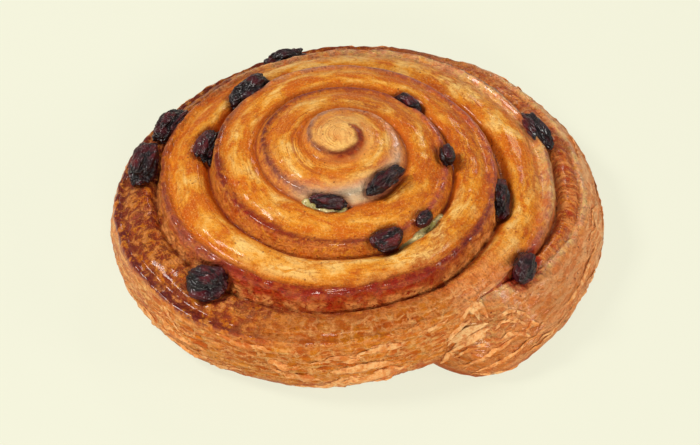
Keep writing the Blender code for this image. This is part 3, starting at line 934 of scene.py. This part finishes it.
def closeHoles(mesh):  # the small end in the middle and the flat base
    bm = bmesh.new()
    bm.from_mesh(mesh)
    rings = {True: [], False: []}
    for edge in bm.edges:
        if edge.is_boundary:
            rings[(edge.verts[0].co - coilMiddle).xy.length < coil["hub"] * mm].append(edge)
    for ring in rings.values():
        bmesh.ops.triangulate(bm, faces=bmesh.ops.contextual_create(bm, geom=ring)["faces"])
    bm.to_mesh(mesh)
    bm.free()
    return [len(ring) for ring in rings.values()]


def faceOutward(mesh):
    bm = bmesh.new()
    bm.from_mesh(mesh)
    bmesh.ops.recalc_face_normals(bm, faces=bm.faces)
    bm.to_mesh(mesh)
    bm.free()


def makeDough():
    mesh = meshFromTree("bakedCoil", doughTree(), {
        "Crest line": crestLine, "Foot line": footLine, "Raisins": raisinCollection, "Crust": crustMaterial(),
        **dough})
    print("dough", len(mesh.vertices), len(mesh.polygons), closeHoles(mesh))
    faceOutward(mesh)
    mesh.shade_smooth()
    obj = plainObject("bakedCoil", mesh)
    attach(obj, "root")
    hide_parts("dough")
    return obj


doughPiece = makeDough()
bpy.data.collections.remove(raisinCollection)
dropObject(crestLine)
dropObject(footLine)


custard = {                  # a ribbon in the seam that wells up at two openings
    "from": 1.14,
    "to": 2.36,
    "bottom": 5.0,
    "thickness": 3.2,
    "thinShare": 0.4,
    "hiddenDepth": 2.2,
    "openings": [(1.40, 0.06, 1.9), (2.245, 0.045, 1.3)],    # turn, half length, rise
    "grooveShare": 0.17,
    "steps": 300,
    "arcPoints": 14,
    "lumpSizes": (2.2, 1.0),
    "tones": {
        "shade": rgb(168, 156, 88),
        "cream": rgb(214, 198, 138),
        "grit": rgb(104, 84, 60),
        "bubble": rgb(150, 130, 66),
    },
}


def custardTop(turn):
    top = bandPoint(turn + 1, custard["grooveShare"])
    well, swell = 0.0, 1.0
    for middle, half, rise in custard["openings"]:
        here = 1 - float(tidyStep(half * 0.6, half * 1.3, abs(turn - middle)))
        if here > well:
            well, swell = here, rise
    top.z += blendOf(-custard["hiddenDepth"], swell, well) * mm
    return top, blendOf(custard["thinShare"], 1, well)


def custardMaterial():
    material, g = newMaterial("baked custard", custard["tones"])
    spot = g.spot()
    cloud = g.noise(spot, 330.0, 3.0, 0.6)
    bubble = g.cells(spot, 950.0)
    grit = g.noise(spot, 1500.0, 2.0)
    colour = (
        g.blend(cloud.eased(0.36, 0.62), "shade", "cream")
        .coated(grit.eased(0.62, 0.70) * 0.8, "grit")
        .coated(bubble.faded(0.12, 0.24) * 0.5, "bubble")
    )
    g.surface({
        "Base Color": colour, "Roughness": grit * 0.3 + 0.22, "Coat Weight": 0.25, "Subsurface Weight": 0.2,
        "Subsurface Scale": 0.002, "Subsurface Radius": (1.0, 0.8, 0.4)}, bubble.eased(0.05, 0.35) + cloud)
    return material


def custardOutline(half, top):  # one cross-section, round from its foot: how far across and how high
    low = custard["bottom"] * mm
    outline = [(half * 0.5, low), (half, low + half * 0.5), (half, (low + top) / 2)]
    for i in range(custard["arcPoints"]):
        angle = math.pi * i / (custard["arcPoints"] - 1)
        outline.append((half * math.cos(angle), top - half * 0.7 * (1 - math.sin(angle))))
    return outline + [(-half, low + half * 0.5), (-half * 0.5, low)]


def custardPoints():
    broad, small = custard["lumpSizes"]
    points = []
    for column in range(custard["steps"] + 1):
        turn = blendOf(custard["from"], custard["to"], column / custard["steps"])
        top, share = custardTop(turn)
        ahead = custardTop(min(turn + 0.01, custard["to"] + 0.01))[0] - top
        side = Vector((-ahead.y, ahead.x, 0)).normalized()
        half = custard["thickness"] * share * mm / 2
        for across, height in custardOutline(half, top.z):
            point = top + side * across
            point.z = height
            lump = noise.noise(point / (broad * mm)) + 0.5 * noise.noise(point / (small * mm))
            point += (side * across * 0.2 + Vector((0, 0, half * 0.6))) * lump * share
            points.append(point + coilMiddle)
    return points


def makeCustard():
    points, faces = custardPoints(), []
    ring = custard["arcPoints"] + 5
    for column in range(custard["steps"]):
        for i in range(ring):
            a, b = column * ring + i, column * ring + (i + 1) % ring
            faces.append((a, b, b + ring, a + ring))
    last = custard["steps"] * ring
    faces += [tuple(reversed(range(ring))), tuple(range(last, last + ring))]
    mesh = bpy.data.meshes.new("custardLayer")
    mesh.from_pydata(points, [], faces)
    mesh.materials.append(custardMaterial())
    faceOutward(mesh)
    mesh.shade_smooth()
    obj = plainObject("custardLayer", mesh)
    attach(obj, "root")
    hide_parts("custard")
    print("custard", len(points))


makeCustard()


layerPlan = {                # bands of pastry that lie along the wall and stand off it a little
    "count": 120,
    "turns": (4.27, 5.21),       # where a band can start
    "lastTurn": 5.235,
    "heights": (0.12, 0.93),     # share of the wall, from the crest down
    "wallRadius": 52,            # mm, for lengths along the wall
    "count": 120,
    "length": (6, 26),           # mm
    "width": (0.6, 2.0),
    "slope": 0.16,
    "wave": 0.035,
    "seed": 11,
    "placed": [              # width in mm, lean in degrees, paleness, points in mm from the coil's middle
        (2.0, -45, 0.8, [(27.2, -36.9, 17.0), (29.0, -37.3, 15.6), (30.6, -38.6, 13.6)]),
        (2.2, -45, 0.5, [(28.4, -36.2, 17.4), (30.6, -36.6, 15.6), (32.3, -38.0, 13.8)]),
        (2.3, -40, 0.8, [(23.5, -41.4, 8.2), (26.6, -40.8, 10.9), (30.2, -39.5, 12.1), (32.2, -38.8, 12.9)]),
        (2.2, -40, 0.5, [(23.9, -42.3, 7.0), (27.2, -41.8, 9.6), (30.9, -40.5, 10.9), (33.2, -39.6, 11.6)]),
        (1.4, -40, 0.5, [(22.9, -41.2, 9.6), (25.8, -40.0, 12.3), (28.6, -38.6, 14.0)]),
        (1.2, -30, 0.2, [(24.6, -43.0, 5.6), (28.4, -42.8, 8.2), (32.2, -41.8, 9.6)]),
        (1.2, -40, 0.3, [(25.6, -39.2, 14.2), (27.4, -38.0, 15.6), (28.6, -36.9, 16.8)]),
        (1.1, -40, 0.6, [(34.0, -38.6, 13.0), (36.5, -36.0, 13.4), (39.7, -35.1, 12.2), (42.5, -35.2, 10.4)]),
        (1.0, -40, 0.4, [(34.0, -39.8, 11.4), (35.6, -37.9, 12.0), (38.6, -36.9, 11.6), (41.5, -37.2, 9.8)]),
        (1.0, -30, 0.3, [(35.1, -41.2, 9.6), (36.9, -39.8, 10.0), (39.7, -38.7, 9.2), (42.0, -38.3, 7.6)]),
        (1.6, -10, 0.3, [(21.8, -42.6, 2.9), (24.4, -42.5, 7.0), (27.9, -41.7, 9.5)]),
        (1.2, -20, 0.1, [(25.2, -43.5, 3.4), (29.6, -44.1, 5.8), (34.0, -43.1, 8.0), (38.5, -39.8, 9.0),
                         (43.2, -35.4, 9.5)]),
        (1.3, 0, 0.1, [(29.6, -44.8, 3.2), (35.2, -43.7, 5.3), (40.9, -39.7, 6.6), (45.6, -35.1, 7.2)]),
        (2.6, -5, 0.3, [(-2.8, -49.6, 8.4), (1.6, -49.5, 9.0), (7.1, -48.5, 9.5), (11.6, -46.8, 8.6)]),
        (3.4, 5, 0.2, [(-0.5, -48.5, 3.6), (4.9, -47.8, 4.4), (9.4, -47.5, 5.6), (14.0, -46.0, 5.6)]),
        (2.2, 0, 0.2, [(-12.5, -49.5, 7.2), (-9.5, -49.5, 6.6), (-5.1, -49.0, 5.1)]),
        (1.0, -20, 0.3, [(4.9, -48.3, 14.4), (9.3, -47.0, 14.5), (12.6, -46.1, 14.1)]),
        (0.9, -30, 0.3, [(17.1, -44.3, 15.5), (20.4, -42.4, 15.4), (23.3, -40.7, 16.4)]),
    ],
}

layers = {
    "Spacing": 1.1 * mm,
    "Thinness": 0.2,
    "Ragged": 0.55 * mm,
    "Stand off": 0.12 * mm,
}


def wallPoint(turn, down):
    rim, foot = crest(turn), footPoint(turn)
    point = rim.lerp(foot, math.sin(down * math.pi / 2))
    bulge = max(0, math.sin(down * math.pi)) ** 0.7 * section["wallBulge"] - section["tuck"] * down**4
    point += Vector((point.x, point.y, 0)).normalized() * bulge * mm
    point.z = rim.z * (1 - down)
    return point


def guideLines():  # each with its width in mm, lean in degrees, paleness and points
    chance = random.Random(layerPlan["seed"])
    lines = [(width, lean, pale, [Vector(p) * mm for p in points])
             for width, lean, pale, points in layerPlan["placed"]]
    for _ in range(layerPlan["count"]):
        start, down = chance.uniform(*layerPlan["turns"]), chance.uniform(*layerPlan["heights"])
        reach = chance.uniform(*layerPlan["length"]) * chance.uniform(0.4, 1.0)
        reach /= 2 * math.pi * layerPlan["wallRadius"]
        slope, wave = chance.uniform(-1, 1) * layerPlan["slope"], chance.uniform(0, 6)
        points = []
        for i in range(7):
            turn = min(layerPlan["lastTurn"], start + reach * i / 6)
            height = down + slope * i / 6 + layerPlan["wave"] * math.sin(wave + i * 1.4)
            points.append(wallPoint(turn, min(0.95, max(0.08, height))))
        lines.append((chance.uniform(*layerPlan["width"]), chance.uniform(-8, 18), chance.uniform(0, 0.4), points))
    return lines


def layerGuides():
    mesh = bpy.data.meshes.new("layerGuides")
    places, edges, kept = [], [], {"width": [], "lean": [], "pale": []}
    for width, lean, pale, points in guideLines():
        edges += [(len(places) + i, len(places) + i + 1) for i in range(len(points) - 1)]
        places += [tuple(p + coilMiddle) for p in points]
        for name, value in (("width", width * mm), ("lean", math.radians(lean)), ("pale", pale)):
            kept[name] += [value] * len(points)
    mesh.from_pydata(places, edges, [])
    for name, values in kept.items():
        mesh.attributes.new(name, "FLOAT", "POINT").data.foreach_set("value", values)
    return plainObject("layerGuides", mesh)


def layerTree():
    tree, g, given = newTree("peeled layers", {
        "Guides": "Object", "Dough": "Object", "Spacing": "Float", "Thinness": "Float", "Ragged": "Float",
        "Stand off": "Float", "Skin": "Material"})
    line = g.add("GeometryNodeMeshToCurve", None, {0: g.shapeOf(given["Guides"])})
    line = g.add("GeometryNodeCurveSplineType", {"spline_type": "CATMULL_ROM"}, {0: line})
    line = g.add("GeometryNodeResampleCurve", {"mode": "LENGTH"}, {"Curve": line, "Length": given["Spacing"]})
    onDough = g.nearest(g.shapeOf(given["Dough"]), "Position")
    x, y, z = g.split(g.place())
    outward = g.vector("NORMALIZE", g.joined(x, y, 0.0))
    line = g.moved(line, Position=onDough, Offset=g.scaled(outward, given["Stand off"]))
    line = g.add("GeometryNodeSetCurveNormal", {"mode": "Z_UP"}, {0: line})
    line = g.add("GeometryNodeSetCurveTilt", None, {"Curve": line, "Tilt": g.named("lean")})
    along = g.add("GeometryNodeSplineParameter", None, None, "Factor")
    taper = (along * math.pi).calc("SINE").most(0.02) ** 0.6
    line = g.add("GeometryNodeSetCurveRadius", None, {"Curve": line, "Radius": g.named("width") * taper})
    rim = g.add("GeometryNodeCurvePrimitiveCircle", {"mode": "RADIUS"}, {"Resolution": 8, "Radius": 0.5})
    rim = g.add("GeometryNodeTransform", None, {"Geometry": rim, "Scale": g.joined(given["Thinness"], 1.0, 1.0)})
    band = g.add("GeometryNodeCurveToMesh", None, {
        "Curve": line, "Profile Curve": rim, "Fill Caps": True, "Scale": g.add("GeometryNodeInputRadius")})
    wobble = g.add("ShaderNodeTexNoise", None, {"Vector": g.place(), "Scale": 620.0, "Detail": 2.0}, "Color")
    wobble = g.vector("SUBTRACT", wobble, (0.5, 0.5, 0.5))
    band = g.moved(band, Offset=g.scaled(wobble, given["Ragged"] * 2.5))
    band = g.moved(band, Position=g.joined(x, y, z.most(0.15 * mm)))
    g.finish(band, given["Skin"])
    return tree


def layerMaterial():
    material, g = newMaterial("peeled layer", tone)
    spot, pale = g.spot(), g.attribute("pale")
    mid = g.noise(spot, 260.0, 3.0)
    fine = g.noise(spot, 1000.0, 4.0, 0.65)
    colour = (
        g.blend(mid.eased(0.40, 0.6), "tan", "peach")
        .coated(fine.eased(0.46, 0.6) * 0.6, "flake")
        .coated(mid.faded(0.36, 0.48) * (1 - pale) * 0.8, "amber")
        .coated(fine.faded(0.34, 0.46) * 0.6, "rust")
        .coated(pale * (fine.eased(0.36, 0.52) * 0.6 + 0.2), "pale")
        .coated(g.noise(spot, 420.0, 3.0, 0.6).faded(0.36, 0.5) * 0.7, "tan")
    )
    g.surface({"Base Color": colour, "Roughness": fine * 0.2 + 0.42, "Specular IOR Level": 0.3},
              fine + mid * 0.5, 0.0006)
    return material


def makeLayers():
    guides = layerGuides()
    mesh = meshFromTree("peeledLayers", layerTree(), {
        "Guides": guides, "Dough": doughPiece, "Skin": layerMaterial(), **layers})
    faceOutward(mesh)
    mesh.shade_smooth()
    obj = plainObject("peeledLayers", mesh)
    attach(obj, "root")
    dropObject(guides)
    print("layers", len(mesh.polygons))


makeLayers()


view = {
    "lens": 133.1,
    "distance": 600,
    "elevation": 46,
    "target": (-2.1, -9.78, 12),
}


def makeCamera():
    camera = bpy.data.objects.new("camera", bpy.data.cameras.new("camera"))
    camera.data.lens = view["lens"]
    camera.data.sensor_width = 36
    camera.data.clip_start = 0.02
    tilt = math.radians(view["elevation"])
    target = Vector(view["target"]) * mm
    back = Vector((0, -math.cos(tilt), math.sin(tilt)))
    camera.location = target + back * view["distance"] * mm
    camera.rotation_euler = (math.pi / 2 - tilt, 0, 0)
    scene.collection.objects.link(camera)
    scene.camera = camera

lamps = {                    # watts, width and height in m, place in m, colour
    "key": (9.55, (0.30, 0.30), (-0.78, 0.10, 0.85), (1.0, 0.975, 0.93)),
    "rear": (1.6, (0.26, 0.18), (0.35, 0.85, 0.70), (1.0, 0.93, 0.90)),
    "fill": (7.8, (0.36, 0.26), (0.1, -1.1, 0.55), (1.0, 0.93, 0.84)),
    "side": (3.6, (0.3, 0.3), (1.0, -0.25, 0.50), (1.0, 0.89, 0.77)),
}


def areaLight(name, power, size, place, colour):
    light = bpy.data.lights.new(name, "AREA")
    light.shape = "RECTANGLE"
    light.size, light.size_y = size
    light.energy = power
    light.color = colour
    lamp = bpy.data.objects.new(name, light)
    lamp.location = Vector(place)
    lamp.rotation_euler = (Vector((0, 0, 0.01)) - lamp.location).to_track_quat("-Z", "Y").to_euler()
    scene.collection.objects.link(lamp)


backdrop = {
    "half": 3,                   # m from the middle to each side of the floor
    "floor": (0.13, 0.13, 0.108, 1.0),
    "floorGlow": (0.752, 0.755, 0.603, 1.0),
    "sky": rgb(248, 248, 244),
    "skyPower": 0.28,
}


def makeFloor():
    half = backdrop["half"]
    mesh = bpy.data.meshes.new("table")
    mesh.from_pydata([(-half, -half, 0), (half, -half, 0), (half, half, 0), (-half, half, 0)], [], [(0, 1, 2, 3)])
    material, g = newMaterial("pale table")
    g.surface({
        "Base Color": backdrop["floor"], "Roughness": 0.9, "Specular IOR Level": 0.0,
        "Emission Color": backdrop["floorGlow"], "Emission Strength": 1.0})
    mesh.materials.append(material)
    floor = plainObject("table", mesh)
    floor.location.z = -0.1 * mm


def makeWorld():
    world = bpy.data.worlds.new("studio")
    world.use_nodes = True
    g = Graph(world.node_tree)
    back = g.add("ShaderNodeBackground", None, {"Color": backdrop["sky"], "Strength": backdrop["skyPower"]})
    g.add("ShaderNodeOutputWorld", None, {"Surface": back})
    scene.world = world


makeCamera()
makeFloor()
makeWorld()
for name, lamp in lamps.items():
    areaLight(name, *lamp)
scene.view_settings.view_transform = "Standard"
scene.view_settings.look = "None"
